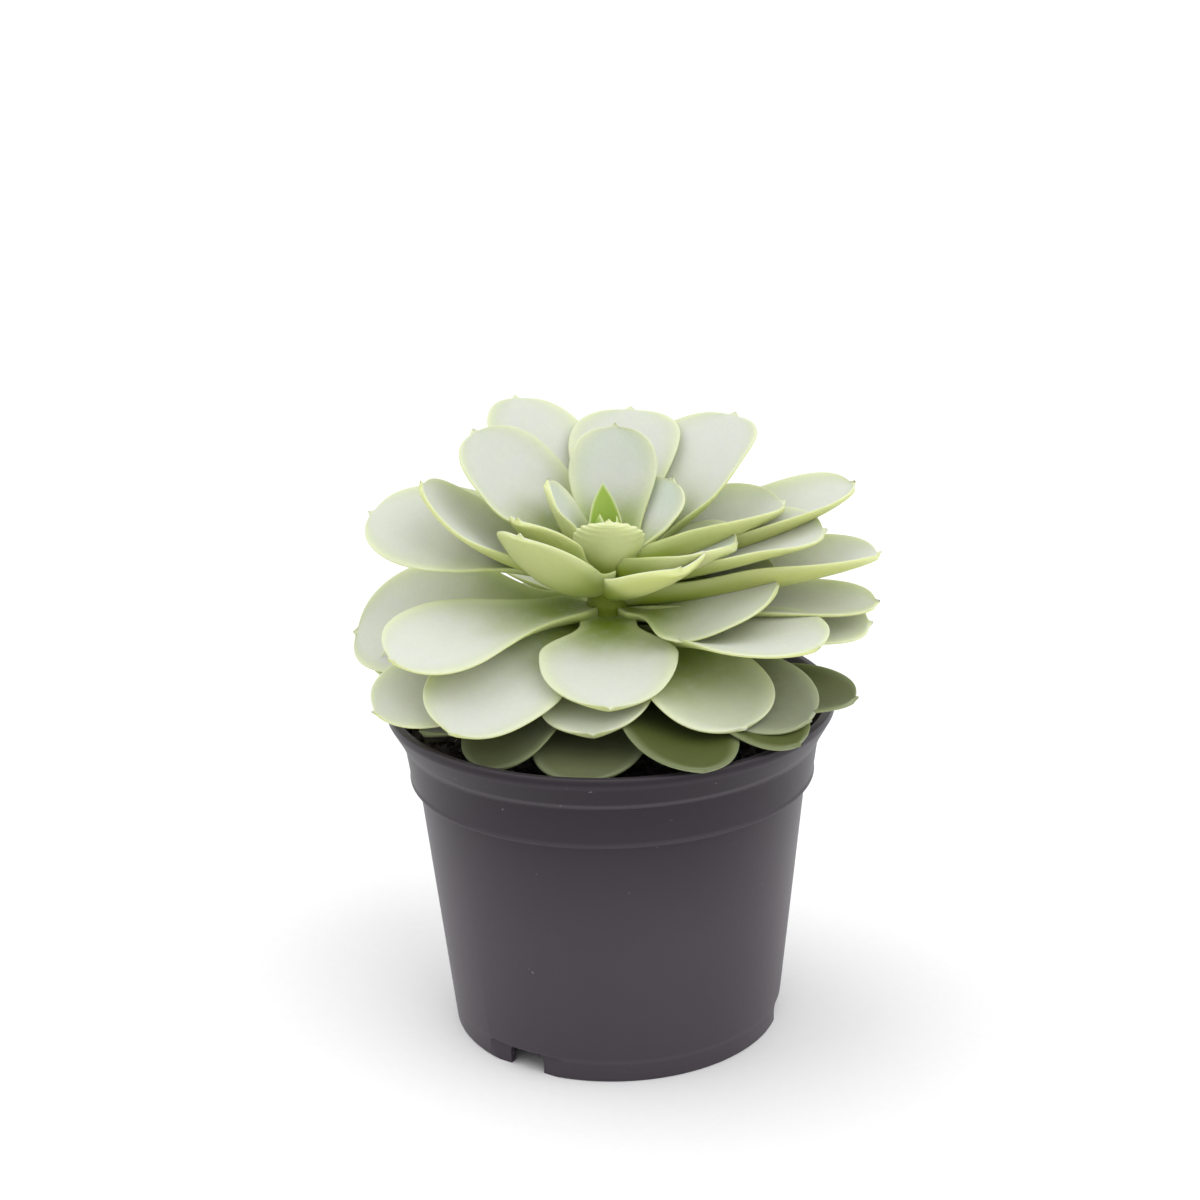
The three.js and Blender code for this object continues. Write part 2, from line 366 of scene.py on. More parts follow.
def leaf_tree():
    """Bends a blade along the curve that each leaf's values describe."""
    tree = GeometryTree("Leaf blades")
    rings = tree.input("Rings", "NodeSocketInt", LEAF_RINGS)
    sides = tree.input("Sides", "NodeSocketInt", LEAF_SIDES)
    margin = tree.input("Margin", "NodeSocketFloat", LEAF_MARGIN * MM)
    point = tree.input("Point", "NodeSocketFloat", LEAF_POINT * MM)
    flatness = tree.input("Flatness", "NodeSocketFloat", LEAF_FLATNESS)
    wave = tree.input("Wave", "NodeSocketFloat", LEAF_WAVE * MM)
    material = tree.input("Material", "NodeSocketMaterial")

    grid = tree.node("GeometryNodeMeshGrid", None, {
        "Size X": 1.0, "Size Y": 1.0, "Vertices X": sides + 1, "Vertices Y": rings,
    })
    place = tree.node("GeometryNodeInputPosition")
    parts = tree.node("ShaderNodeSeparateXYZ", None, {0: place.outputs[0]})
    flat = tree.store(tree.out(grid, "Mesh"), "around", (tree.out(parts, 0) + 0.5) * math.tau)
    flat = tree.store(flat, "ring", tree.out(parts, 1) + 0.5)
    copies = tree.node("GeometryNodeInstanceOnPoints", None, {
        "Points": tree.out(tree.entry, 0), "Instance": flat,
    })
    blades = tree.out(tree.node("GeometryNodeRealizeInstances", None, {0: tree.out(copies)}))

    get = tree.attribute
    length = get("length")
    around = get("around")
    sunk = get("sunk") / length
    eased = tree.math("SINE", get("ring") * (math.pi / 2))
    along = eased * (1 + sunk) - sunk
    share = tree.clamp(along)
    across = tree.math("COSINE", around)
    upper = tree.math("SINE", around)

    widest = get("widest")
    shank = get("shank")
    rise = tree.math("SINE", tree.clamp((share - shank) / (widest - shank)) * (math.pi / 2))
    neck = get("neck")
    before = neck + (1 - neck) * rise * rise
    past = tree.clamp((share - widest) / (1 - widest))
    blunt = get("blunt")
    after = tree.clamp(1 - past ** blunt) ** (1 / blunt)
    started = tree.clamp(get("ring") * 12)
    teeth = get("crinkle") * tree.math("SINE", get("ring") * TEETH_RATE)
    teeth = teeth * tree.clamp(share * 3 - 1.5)
    half = get("width") * 0.5 * tree.math("MINIMUM", before, after) * started
    half = half * (1 + TEETH_WIDTH * teeth)
    phase = get("phase")
    ripple = tree.math("SINE", along * 7.0 + phase) * 0.6
    ripple = ripple + tree.math("SINE", along * 12.0 + phase * 2.3 + across * 1.2) * 0.4

    root_pitch = get("root_pitch")
    turn = get("tip_pitch") - root_pitch
    pitch = root_pitch + turn * along
    reach = length / turn
    run = get("start") + reach * (tree.math("SINE", pitch) - tree.math("SINE", root_pitch))
    lift = get("height") - reach * (tree.math("COSINE", pitch) - tree.math("COSINE", root_pitch))

    roll = get("roll") * tree.clamp(along * 2)
    cup = get("cup") * (1.6 - 1.1 * share)
    bow = cup * across
    radius = half / cup
    edge = across * across
    thickness = get("thickness") * (1 - share) + get("tip_thickness") * share
    depth = (margin + (thickness - margin) * (1 - edge)) * tree.clamp(half / (1.6 * MM)) ** 0.5
    signed = tree.math("SIGN", upper) * tree.math("ABSOLUTE", upper) ** flatness
    drop = depth * 0.5 * (1 - signed) - wave * ripple * edge * tree.clamp(along * 1.5)
    side = (radius + drop) * tree.math("SINE", bow)
    up = radius - (radius + drop) * tree.math("COSINE", bow)
    forward = point * (tree.clamp(1 - half / (1.3 * MM)) ** 1.5 + TEETH_LENGTH * teeth)

    cos_roll = tree.math("COSINE", roll)
    sin_roll = tree.math("SINE", roll)
    sideways = side * cos_roll - up * sin_roll
    upward = side * sin_roll + up * cos_roll
    cos_pitch = tree.math("COSINE", pitch)
    sin_pitch = tree.math("SINE", pitch)
    out = run - upward * sin_pitch + forward * cos_pitch
    height = lift + upward * cos_pitch + forward * sin_pitch
    azimuth = get("azimuth")
    cos_azimuth = tree.math("COSINE", azimuth)
    sin_azimuth = tree.math("SINE", azimuth)
    spot = tree.node("ShaderNodeCombineXYZ", None, {
        0: out * cos_azimuth - sideways * sin_azimuth,
        1: out * sin_azimuth + sideways * cos_azimuth,
        2: height,
    })
    blades = tree.store(blades, "along", share)
    blades = tree.store(blades, "across", across)
    blades = tree.store(blades, "upper", upper)
    blades = tree.store(blades, "half", half / MM)
    bent = tree.out(tree.node("GeometryNodeSetPosition", None, {
        "Geometry": blades, "Position": tree.out(spot),
    }))
    closed = tree.out(tree.node("GeometryNodeMergeByDistance", None, {
        "Geometry": bent, "Distance": WELD * MM,
    }))
    smooth = tree.out(tree.node("GeometryNodeSetShadeSmooth", None, {"Geometry": closed}))
    painted = tree.node("GeometryNodeSetMaterial", None, {
        "Geometry": smooth, "Material": material,
    })
    tree.finish(tree.out(painted))
    return tree


def rosette_rows():
    rows = []
    for number, values in LEAVES.items():
        leaf = dict(zip(LEAF_COLUMNS, values))
        chance = random.Random(number)
        rows.append({
            "azimuth": math.radians(FIRST_AZIMUTH + GOLDEN_ANGLE * number + leaf["turn"]),
            "start": LEAF_START * MM,
            "sunk": LEAF_SUNK * MM,
            "height": leaf["height"] * MM,
            "length": leaf["length"] * MM,
            "width": leaf["width"] * MM,
            "root_pitch": math.radians(leaf["root_pitch"]),
            "tip_pitch": math.radians(leaf["tip_pitch"] + LEAST_TURN),
            "roll": math.radians(leaf["roll"]),
            "cup": math.radians(leaf["cup"]),
            "widest": leaf["widest"] / 100,
            "neck": max(OLD_NECK, YOUNG_NECK - NECK_STEP * number),
            "shank": SHANK,
            "blunt": BLUNT,
            "thickness": ROOT_THICKNESS * MM,
            "tip_thickness": TIP_THICKNESS * MM,
            "phase": chance.uniform(0, math.tau),
            "young": max(0.0, 1 - number / YOUNG_COUNT),
            "worn_and_shaded": min(1.0, max(0.0, (WORN_AND_SHADED_BELOW - leaf["height"]) / WORN_AND_SHADED_SPAN)),
            "tint": chance.uniform(0, 1),
            "shaded": PAINTED_SHADE_ON_LEAVES.get(number, 0.0),
            "crinkle": max(0.0, 1.0 - number),
        })
    return rows


def heart_rows():
    rows = []
    for number, (azimuth, length, width) in enumerate(HEART_LEAVES):
        rows.append({
            "azimuth": math.radians(azimuth),
            "start": 1.2 * MM,
            "sunk": 0.6 * MM,
            "height": (HEART_FOOT + 1.6) * MM,
            "length": length * MM,
            "width": width * MM,
            "root_pitch": math.radians(74),
            "tip_pitch": math.radians(90),
            "roll": 0.0,
            "cup": math.radians(40),
            "widest": 0.28,
            "neck": 0.6,
            "shank": 0.0,
            "blunt": 1.4,
            "thickness": 1.4 * MM,
            "tip_thickness": 0.8 * MM,
            "phase": 1.7 * number,
            "tint": number / 3,
            "crinkle": 0.0,
        })
    return rows


# --------------------------------------------------------------------- mesh tools


def lathe(profile, sides, name):
    """A closed mesh turned around Z from a profile of (radius, height) in millimetres."""
    shape = bmesh.new()
    rings = []
    for radius, height in profile:
        if radius < 1e-6:
            rings.append([shape.verts.new((0, 0, height * MM))])
            continue
        ring = []
        for step in range(sides):
            angle = math.tau * step / sides
            x = radius * MM * math.cos(angle)
            y = radius * MM * math.sin(angle)
            ring.append(shape.verts.new((x, y, height * MM)))
        rings.append(ring)
    for lower, upper in zip(rings, rings[1:]):
        for step in range(sides):
            after = (step + 1) % sides
            corners = [lower[step % len(lower)], lower[after % len(lower)]]
            corners += [upper[after % len(upper)], upper[step % len(upper)]]
            corners = list(dict.fromkeys(corners))
            shape.faces.new(corners)
    bmesh.ops.recalc_face_normals(shape, faces=shape.faces)
    mesh = bpy.data.meshes.new(name)
    shape.to_mesh(mesh)
    shape.free()
    return mesh


def rounded(points, radius, steps=4):
    """The profile with each inner corner replaced by a short curve."""
    path = [points[0]]
    for before, corner, after in zip(points, points[1:], points[2:]):
        here = Vector(corner)
        back = Vector(before) - here
        ahead = Vector(after) - here
        cut = min(radius, back.length * 0.45, ahead.length * 0.45)
        first = here + back.normalized() * cut
        last = here + ahead.normalized() * cut
        for step in range(steps + 1):
            share = step / steps
            a = first.lerp(here, share)
            b = here.lerp(last, share)
            path.append(tuple(a.lerp(b, share)))
    path.append(points[-1])
    return path


def piece(mesh, name, node):
    """Links a finished mesh as a piece that stands for a solid of the frame."""
    made = bpy.data.objects.new(name, mesh)
    bpy.context.scene.collection.objects.link(made)
    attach(made, "root")
    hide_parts(node)
    return made


def shade_by_angle(mesh, degrees):
    """Smooth shading with creases where faces meet at more than an angle."""
    for face in mesh.polygons:
        face.use_smooth = True
    mesh.set_sharp_from_angle(angle=math.radians(degrees))


# ---------------------------------------------------------------------- materials


def surface(name):
    """A new material with its tree and its main shader."""
    material = bpy.data.materials.new(name)
    material.use_nodes = True
    tree = Tree(material.node_tree)
    shader = material.node_tree.nodes["Principled BSDF"]
    return material, tree, shader


def place_on(tree):
    """The object's own coordinates, in millimetres."""
    coordinates = tree.node("ShaderNodeTexCoord")
    scaled = tree.node("ShaderNodeVectorMath", {"operation": "SCALE"}, {
        0: coordinates.outputs["Object"], "Scale": 1 / MM,
    })
    return tree.out(scaled)


def bump(tree, shader, height, distance, strength=1.0):
    made = tree.node("ShaderNodeBump", None, {
        "Height": height, "Distance": distance, "Strength": strength,
    })
    tree.feed(shader.inputs["Normal"], made.outputs["Normal"])


def value_of(tree, name):
    made = tree.node("ShaderNodeAttribute", {"attribute_name": name})
    return tree.out(made, "Fac")


def leaf_material(settings):
    material, tree, shader = surface("Waxy leaf")
    place = place_on(tree)
    along = value_of(tree, "along")
    across = value_of(tree, "across")
    upper = value_of(tree, "upper")
    half = value_of(tree, "half")
    young = value_of(tree, "young")
    aged_and_shaded = value_of(tree, "worn_and_shaded")
    tint = value_of(tree, "tint")
    shaded = value_of(tree, "shaded")

    patches = tree.noise(place, 0.09, 3.0)
    grain = tree.noise(place, 0.9, 5.0, 0.6)
    streaks = tree.noise(place, 0.3, 6.0, 0.65)
    edge = half * (1 - tree.math("ABSOLUTE", across))
    rim = 1 - tree.smooth(edge, 0.0, 3.2)

    # Painted shade on the listed leaves: their bloom is pushed towards the tip and their faces
    # turn a darker green.
    reach = along + (patches - 0.5) * 0.25 - 0.6 * shaded
    bloom = tree.smooth(reach, 0.1, 0.66)
    # Partly painted shade: besides the leaf's own greener base, the dark green near the stem
    # stands in for the shade where the leaves overlap.
    fresh = tree.mix(bloom, settings.root_and_shade_colour, settings.bloom_colour)
    # Partly the old leaves' own darker colour, partly painted shade from the tiers above: the
    # lowest tier turns dark olive.
    worn_and_shaded = tree.mix(bloom, settings.old_root_and_shaded_colour, settings.old_and_shaded_colour)
    top = tree.mix(shaded * tree.smooth(edge, 0.5, 6.0), fresh, settings.painted_shade_leaf_colour)
    top = tree.mix(aged_and_shaded, top, worn_and_shaded)
    blush = tree.smooth(along, 0.45, 0.85) * tree.smooth(edge, 1.0, 4.5)
    top = tree.mix(blush * young * 0.75, top, settings.blush_colour)
    streaked = tree.smooth(streaks, 0.45, 0.75)
    top = tree.mix(streaked * 0.3 * (1 - aged_and_shaded), top, settings.blush_colour)
    margin = tree.mix(aged_and_shaded, settings.margin_colour, settings.old_margin_and_shaded_colour)
    band = 1 - tree.smooth(edge, 0.0, 7.0)
    top = tree.mix(band * 0.3 * (1 - aged_and_shaded), top, settings.green_colour)
    top = tree.mix(rim * 0.4, top, margin)
    below = tree.mix(tree.smooth(reach, 0.0, 0.7), settings.root_and_shade_colour, settings.under_colour)
    below = tree.mix(young * bloom, below, settings.young_under_colour)
    # Painted shade on the listed leaves' undersides.
    below = tree.mix(shaded, below, settings.painted_shade_leaf_colour)
    # The lowest tier's undersides darken too: partly their own colour, partly painted shade.
    below = tree.mix(aged_and_shaded * 0.8, below, settings.old_and_shaded_colour)
    below = tree.mix(rim * 0.4, below, margin)
    facing = tree.smooth(upper, -0.05, 0.1)
    colour = tree.mix(facing, below, top)
    shade = 0.94 + 0.1 * grain + 0.04 * tint
    grey = tree.node("ShaderNodeCombineColor", None, {0: shade, 1: shade, 2: shade})
    colour = tree.mix(1.0, colour, tree.out(grey), "MULTIPLY")
    tree.feed(shader.inputs["Base Color"], colour)
    tree.feed(shader.inputs["Roughness"], 0.5 + 0.16 * grain)
    bump(tree, shader, grain + 0.6 * streaks, 0.12 * MM, 0.5)
    shader.inputs["Subsurface Weight"].default_value = 0.25
    shader.inputs["Subsurface Radius"].default_value = (0.8, 1.0, 0.35)
    shader.inputs["Subsurface Scale"].default_value = 3.0 * MM
    shader.inputs["Specular IOR Level"].default_value = 0.35
    shader.inputs["Sheen Weight"].default_value = 0.06
    shader.inputs["Sheen Roughness"].default_value = 0.5
    return material


def heart_material(settings):
    material, tree, shader = surface("Young leaf")
    place = place_on(tree)
    along = value_of(tree, "along")
    half = value_of(tree, "half")
    edge = half * (1 - tree.math("ABSOLUTE", value_of(tree, "across")))
    grain = tree.noise(place, 1.2, 5.0, 0.6)
    ripe = tree.smooth(along, 0.1, 0.8)
    colour = tree.mix(ripe, settings.heart_root_colour, settings.heart_colour)
    rim = 1 - tree.smooth(edge, 0.05, 0.8)
    colour = tree.mix(rim * 0.7, colour, settings.margin_colour)
    tree.feed(shader.inputs["Base Color"], colour)
    tree.feed(shader.inputs["Roughness"], 0.42 + 0.16 * grain)
    bump(tree, shader, grain, 0.08 * MM, 0.5)
    shader.inputs["Subsurface Weight"].default_value = 0.25
    shader.inputs["Subsurface Radius"].default_value = (0.6, 1.0, 0.2)
    shader.inputs["Subsurface Scale"].default_value = 2.0 * MM
    return material


def stem_material(settings):
    material, tree, shader = surface("Green stem")
    place = place_on(tree)
    parts = tree.node("ShaderNodeSeparateXYZ", None, {0: place})
    height = tree.out(parts, 2)
    grain = tree.noise(place, 0.7, 6.0, 0.65)
    green = tree.smooth(height + 8 * grain, 78.0, 100.0)
    colour = tree.mix(green, settings.bark_colour, settings.stem_colour)
    tree.feed(shader.inputs["Base Color"], colour)
    tree.feed(shader.inputs["Roughness"], 0.5 + 0.25 * grain)
    bump(tree, shader, grain, 0.5 * MM, 0.7)
    return material


def plastic_material(settings):
    material, tree, shader = surface("Moulded plastic")
    place = place_on(tree)
    broad = tree.noise(place, 0.03, 3.0)
    grain = tree.noise(place, 1.8, 4.0, 0.6)
    stretched = tree.node("ShaderNodeVectorMath", {"operation": "MULTIPLY"}, {
        0: place, 1: (0.05, 0.05, 1.3),
    })
    scuffs = tree.smooth(tree.noise(tree.out(stretched), 1.0, 8.0, 0.7), 0.66, 0.8)
    specks = tree.smooth(tree.noise(place, 0.55, 2.0, 0.4), 0.76, 0.82)
    colour = tree.mix(broad, settings.plastic_colour, settings.plastic_light_colour)
    height = tree.out(tree.node("ShaderNodeSeparateXYZ", None, {0: place}), 2)
    # Painted shade: the plastic darkens towards the lip, where the leaves above shade the pot.
    upper = tree.smooth(height, 30.0, 80.0)
    colour = tree.mix(upper * 0.9, colour, settings.plastic_painted_shade_colour)
    # Painted highlights: pale lines along the moulded edges, where the light catches them.
    edge_highlight = 0.0
    for level, amount in PAINTED_EDGE_HIGHLIGHTS:
        away = tree.math("ABSOLUTE", height - level)
        edge_highlight = amount * (1 - tree.smooth(away, 0.1, 0.9)) + edge_highlight
    # Real scuffs and specks, together with the painted edge highlights.
    scuffs_and_highlights = scuffs * 0.16 + specks * 0.25 + edge_highlight * (0.06 + 0.08 * grain)
    colour = tree.mix(scuffs_and_highlights, colour, settings.scuff_and_highlight_colour)
    tree.feed(shader.inputs["Base Color"], colour)
    tree.feed(shader.inputs["Roughness"], 0.32 + 0.1 * grain + 0.08 * broad)
    bump(tree, shader, grain + 0.3 * scuffs, 0.05 * MM, 0.5)
    shader.inputs["Specular IOR Level"].default_value = 0.28
    return material


def soil_material(settings):
    material, tree, shader = surface("Potting soil")
    place = place_on(tree)
    clumps = tree.noise(place, 0.35, 8.0, 0.7)
    grain = tree.noise(place, 1.6, 8.0, 0.75)
    dry = tree.smooth(clumps, 0.3, 0.7)
    colour = tree.mix(dry, settings.soil_dark_colour, settings.soil_colour)
    colour = tree.mix(tree.smooth(grain, 0.62, 0.72) * 0.4, colour, settings.fibre_colour)
    tree.feed(shader.inputs["Base Color"], colour)
    tree.feed(shader.inputs["Roughness"], 0.8 + 0.18 * grain)
    bump(tree, shader, grain + clumps, 0.8 * MM, 0.9)
    return material


def perlite_material(settings):
    material, tree, shader = surface("Pale grit")
    place = place_on(tree)
    grain = tree.noise(place, 1.5, 6.0, 0.7)
    colour = tree.mix(grain, settings.grit_colour, settings.fibre_colour)
    tree.feed(shader.inputs["Base Color"], colour)
    tree.feed(shader.inputs["Roughness"], 0.75 + 0.2 * grain)
    bump(tree, shader, grain, 0.3 * MM, 0.8)
    return material


def floor_material(settings):
    material, tree, shader = surface("Pale paper floor")
    place = place_on(tree)
    grain = tree.noise(place, 0.4, 6.0, 0.6)
    colour = tree.mix(grain, settings.floor_colour, settings.floor_light_colour)
    tree.feed(shader.inputs["Base Color"], colour)
    shader.inputs["Roughness"].default_value = 0.7
    shader.inputs["Specular IOR Level"].default_value = 0.2
    return material


# ------------------------------------------------------------------------- settings


def colour_setting(name, description, default):
    return bpy.props.FloatVectorProperty(
        name=name, description=description, default=(*default, 1.0),
        size=4, min=0.0, max=1.0, subtype="COLOR",
    )


class SucculentPlantSettings(bpy.types.PropertyGroup):
    """Fineness and colours of the plant."""

    rings: bpy.props.IntProperty(
        name="Rings", description="Rings of points along each leaf", default=LEAF_RINGS, min=12,
    )
    sides: bpy.props.IntProperty(
        name="Sides", description="Points around each leaf", default=LEAF_SIDES, min=12,
    )
    wave: bpy.props.FloatProperty(
        name="Wave", description="How far the leaf margins ripple",
        default=LEAF_WAVE * MM, unit="LENGTH", subtype="DISTANCE",
    )
    # Partly painted shade: the dark green near the stem stands in for the shade where the leaves
    # overlap.
    root_and_shade_colour: colour_setting("Root", "Leaf near the stem", (0.24, 0.32, 0.015))
    bloom_colour: colour_setting("Bloom", "Waxy bloom on the upper face", (0.585, 0.60, 0.55))
    blush_colour: colour_setting("Blush", "Bluish green on young leaves", (0.52, 0.59, 0.50))
    margin_colour: colour_setting("Margin", "Leaf margin", (0.68, 0.72, 0.44))
    under_colour: colour_setting("Underside", "Lower face of the leaves", (0.55, 0.59, 0.20))
    young_under_colour: colour_setting(
        "Young underside", "Lower face of young leaves", (0.62, 0.66, 0.33),
    )
    green_colour: colour_setting("Green", "Greener band inside the margin", (0.46, 0.55, 0.26))
    # Painted shade colour for the listed leaves.
    painted_shade_leaf_colour: colour_setting("Thin bloom", "Where the bloom is thin", (0.33, 0.38, 0.15))
    # Old leaves' colours: partly their own, partly painted shade on the lowest tier.
    old_and_shaded_colour: colour_setting("Old leaf", "Upper face of old leaves", (0.11, 0.125, 0.055))
    old_root_and_shaded_colour: colour_setting("Old root", "Old leaves near the stem", (0.05, 0.065, 0.004))
    old_margin_and_shaded_colour: colour_setting("Old margin", "Margin of old leaves", (0.27, 0.31, 0.18))
    heart_colour: colour_setting("Heart", "Youngest leaves", (0.36, 0.50, 0.08))
    heart_root_colour: colour_setting("Heart root", "Foot of the youngest", (0.22, 0.34, 0.03))
    stem_colour: colour_setting("Stem", "Green part of the stem", (0.17, 0.23, 0.008))
    bark_colour: colour_setting("Bark", "Lower part of the stem", (0.12, 0.10, 0.05))


class SucculentPotSettings(bpy.types.PropertyGroup):
    """Fineness and colours of the pot and its soil."""

    sides: bpy.props.IntProperty(
        name="Sides", description="Points around the pot", default=192, min=48,
    )
    crumbs: bpy.props.IntProperty(
        name="Crumbs", description="Soil crumbs on the surface", default=SOIL_CRUMBS, min=0,
    )
    seed: bpy.props.IntProperty(
        name="Seed", description="Where the crumbs fall", default=SOIL_SEED,
    )
    plastic_colour: colour_setting("Plastic", "Moulded plastic", (0.044, 0.034, 0.045))
    plastic_light_colour: colour_setting("Pale plastic", "Its paler areas", (0.054, 0.043, 0.055))
    # Painted shade: the colour the plastic darkens towards near the lip.
    plastic_painted_shade_colour: colour_setting("Dark plastic", "Its darker rim", (0.009, 0.005, 0.010))
    # Scuffs and specks, and the colour of the painted edge highlights.
    scuff_and_highlight_colour: colour_setting("Scuffs", "Scuffs and specks", (0.35, 0.33, 0.35))
    soil_colour: colour_setting("Soil", "Potting soil", (0.035, 0.024, 0.016))
    soil_dark_colour: colour_setting("Wet soil", "Darkest soil", (0.010, 0.007, 0.005))
    fibre_colour: colour_setting("Fibres", "Fibres in the soil", (0.13, 0.09, 0.055))
    grit_colour: colour_setting("Grit", "Pale grit", (0.55, 0.53, 0.50))


class SucculentStageSettings(bpy.types.PropertyGroup):
    """Floor, lights and camera."""

    floor_colour: colour_setting("Floor", "Floor", (0.86, 0.86, 0.87))
    floor_light_colour: colour_setting("Pale floor", "Its paler grain", (0.90, 0.90, 0.90))
    key_strength: bpy.props.FloatProperty(
        name="Key light", description="Strength of the wide light at the upper left",
        default=0.8, min=0.0,
    )
    fill_strength: bpy.props.FloatProperty(
        name="Fill light", description="Strength of the wide light at the front right",
        default=1.0, min=0.0,
    )
    sky: bpy.props.FloatProperty(
        name="Surroundings", description="Strength of the white surroundings",
        default=0.95, min=0.0,
    )
    front_dim: bpy.props.FloatProperty(
        name="Dim front", description="How much less light comes from low at the front",
        default=0.3, min=0.0, max=1.0, subtype="FACTOR",
    )
    lens: bpy.props.FloatProperty(
        name="Lens", description="Focal length on a 36 mm wide frame",
        default=CAMERA_LENS, subtype="DISTANCE_CAMERA",
    )


# ------------------------------------------------------------------------ operators


class SUCCULENT_OT_leaves(bpy.types.Operator):
    """Grow every mature leaf of the rosette"""

    bl_idname = "succulent.leaves"
    bl_label = "Leaves"

    def execute(self, context):
        settings = context.scene.succulent_plant
        tree = leaf_tree()
        mesh = run_tree(leaf_points(rosette_rows(), "leaf_values"), tree, {
            "Rings": settings.rings,
            "Sides": settings.sides,
            "Wave": settings.wave,
            "Material": leaf_material(settings),
        }, "leaves")
        piece(mesh, "leaves", "rosette")
        return {"FINISHED"}


class SUCCULENT_OT_heart(bpy.types.Operator):
    """Grow the small bright leaves at the tip of the stem"""

    bl_idname = "succulent.heart"
    bl_label = "Heart leaves"

    def execute(self, context):
        settings = context.scene.succulent_plant
        tree = leaf_tree()
        material = heart_material(settings)
        mesh = run_tree(leaf_points(heart_rows(), "heart_values"), tree, {
            "Rings": settings.rings,
            "Sides": settings.sides,
            "Wave": 0.15 * MM,
            "Margin": 0.45 * MM,
            "Point": 0.8 * MM,
            "Material": material,
        }, "heart_leaves")
        piece(mesh, "heart_leaves", "heart")
        foot = HEART_FOOT
        core = lathe(rounded([
            (0, foot), (HEART_RADIUS, foot), (HEART_RADIUS, foot + 1.5),
            (HEART_RADIUS * 0.7, foot + 5), (0, foot + 8),
        ], 0.8), 32, "heart_core")
        core.materials.append(material)
        shade_by_angle(core, 60)
        piece(core, "heart_core", "heart")
        return {"FINISHED"}


class SUCCULENT_OT_stem(bpy.types.Operator):
    """Turn the stem that carries the leaves"""

    bl_idname = "succulent.stem"
    bl_label = "Stem"

    def execute(self, context):
        settings = context.scene.succulent_plant
        profile = [(0, STEM_FOOT), (STEM_RADIUS - 1, STEM_FOOT), (STEM_RADIUS, STEM_FOOT + 2)]
        height = STEM_FOOT + 4
        while height < STEM_TOP - 6:
            swell = STEM_SWELL * math.sin(height * STEM_SWELL_RATE)
            profile.append((STEM_RADIUS - STEM_SWELL + swell, height))
            height += STEM_STEP
        profile += [
            (STEM_RADIUS, STEM_TOP - 6), (STEM_RADIUS - 1, STEM_TOP - 1),
            (STEM_RADIUS - 2, STEM_TOP), (0, STEM_TOP),
        ]
        mesh = lathe(profile, 48, "stem")
        mesh.materials.append(stem_material(settings))
        shade_by_angle(mesh, 60)
        piece(mesh, "stem", "rosette")
        return {"FINISHED"}


def pot_profile():
    """The pot's section: the outside from the floor up, then the inside down."""
    outside = [
        (0, FLOOR_UNDER),
        (BASE_RADIUS - FOOT_RING, FLOOR_UNDER),
        (BASE_RADIUS - FOOT_RING, 0),
        (BASE_RADIUS, 0),
        BODY_TOP,
        (BAND_FOOT[0] + BEAD, BAND_FOOT[1]),
        (BAND_FOOT[0] + BEAD, BAND_FOOT[1] + 0.5),
        (BAND_FOOT[0], BAND_FOOT[1] + 1.0),
        (BAND_TOP[0] - 0.3, BAND_TOP[1] - 1.0),
        (BAND_TOP[0] + BEAD, BAND_TOP[1] - 0.6),
        (BAND_TOP[0] + 0.3, BAND_TOP[1]),
        (LIP_RADIUS, LIP_FOOT),
        (LIP_RADIUS, POT_HEIGHT - 0.3),
        (LIP_RADIUS - 0.3, POT_HEIGHT),
        (LIP_RADIUS - LIP_WIDTH, POT_HEIGHT),
        (LIP_RADIUS - LIP_WIDTH - 0.5, POT_HEIGHT - 0.5),
    ]
    inside = [
        (BAND_TOP[0] - WALL, BAND_TOP[1] - 0.3),
        (BAND_FOOT[0] - WALL, BAND_FOOT[1] + 0.6),
        (BODY_TOP[0] - WALL, BODY_TOP[1]),
        (BASE_RADIUS + 1.2 - WALL, 13),
        (BASE_RADIUS - FOOT_RING, 9),
        (BASE_RADIUS - FOOT_RING, FLOOR_TOP),
        (0, FLOOR_TOP),
    ]
    return rounded(outside + inside, POT_ROUNDING, 3)


def notch_cutters():
    """Rounded blocks that cut the three drain notches."""
    shape = bmesh.new()
    for azimuth in NOTCH_AZIMUTHS:
        turn = Matrix.Rotation(math.radians(azimuth), 4, "Z")
        for (width, top), near in ((NOTCH_PANEL, PANEL_NEAR), (NOTCH, NOTCH_NEAR)):
            size = Vector((NOTCH_FAR - near, width, top + NOTCH_BELOW)) * MM
            centre = Vector(((near + NOTCH_FAR) / 2, 0, (top - NOTCH_BELOW) / 2)) * MM
            matrix = turn @ Matrix.Translation(centre) @ Matrix.Diagonal((*size, 1))
            made = bmesh.ops.create_cube(shape, size=1.0, matrix=matrix)
            edges = {edge for corner in made["verts"] for edge in corner.link_edges}
            radial = [
                edge for edge in edges
                if abs((edge.verts[0].co - edge.verts[1].co).dot(turn.col[0].xyz)) > 5 * MM
            ]
            bmesh.ops.bevel(
                shape, geom=radial, offset=NOTCH_ROUNDING * MM, segments=4, profile=0.5,
                affect="EDGES",
            )
    mesh = bpy.data.meshes.new("notch_cutters")
    shape.to_mesh(mesh)
    shape.free()
    cutters = bpy.data.objects.new("notch_cutters", mesh)
    bpy.context.scene.collection.objects.link(cutters)
    return cutters


